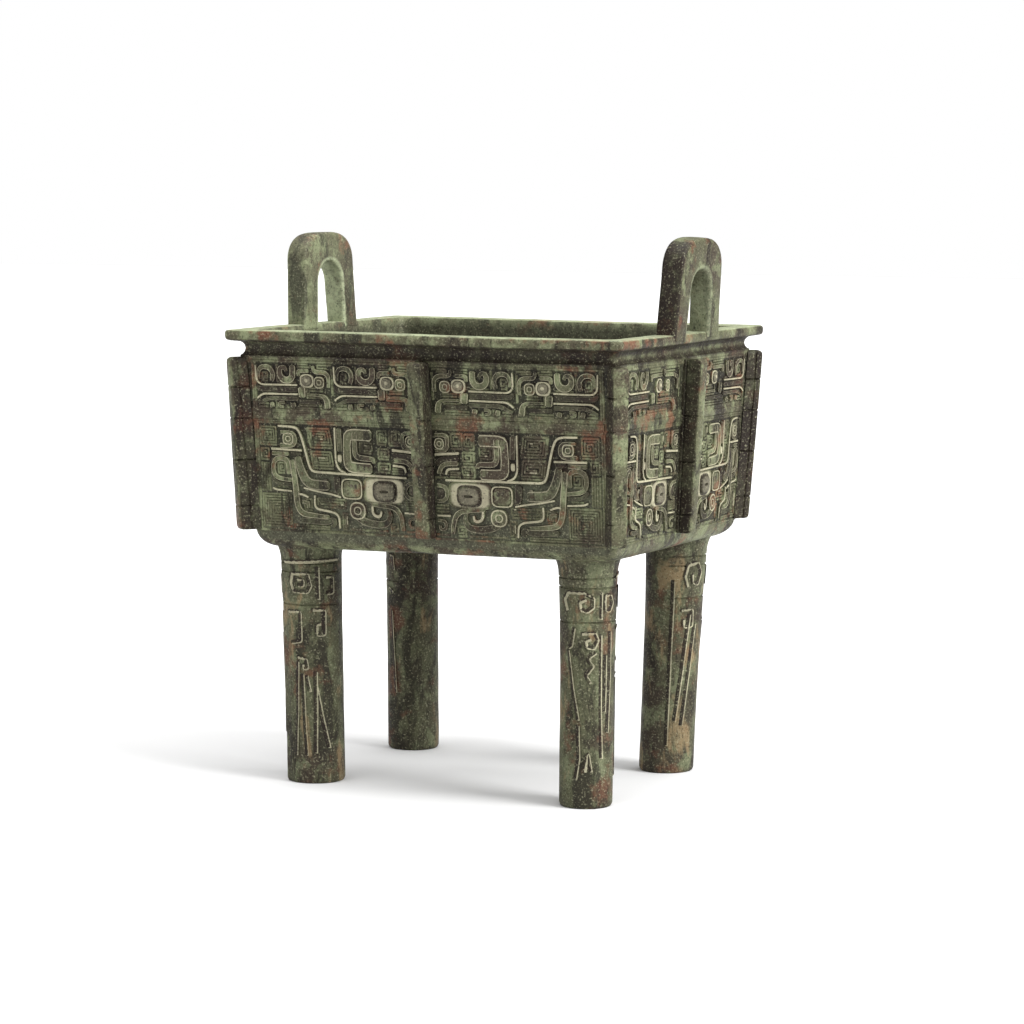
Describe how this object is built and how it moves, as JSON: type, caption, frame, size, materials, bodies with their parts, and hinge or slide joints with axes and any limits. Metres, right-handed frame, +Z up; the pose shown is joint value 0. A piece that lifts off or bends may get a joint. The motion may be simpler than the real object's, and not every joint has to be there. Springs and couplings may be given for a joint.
{
  "type": "square bronze ding",
  "caption": "Open rectangular cast bronze food vessel on round legs, with upright loop handles on the rim, vertical flanges and raised masks and dragons on its walls.",
  "frame": {"origin": "on the ground, under the middle of the vessel", "axes": "+X along the long side, towards one handle; -Y out of the front wall; +Z up"},
  "size_m": [0.181, 0.148, 0.22],
  "materials": {
    "bronze": "dark olive and green patina, matt with worn ridges"
  },
  "bodies": {
    "root": {"square_ding": "bronze"}
  },
  "joints": []
}
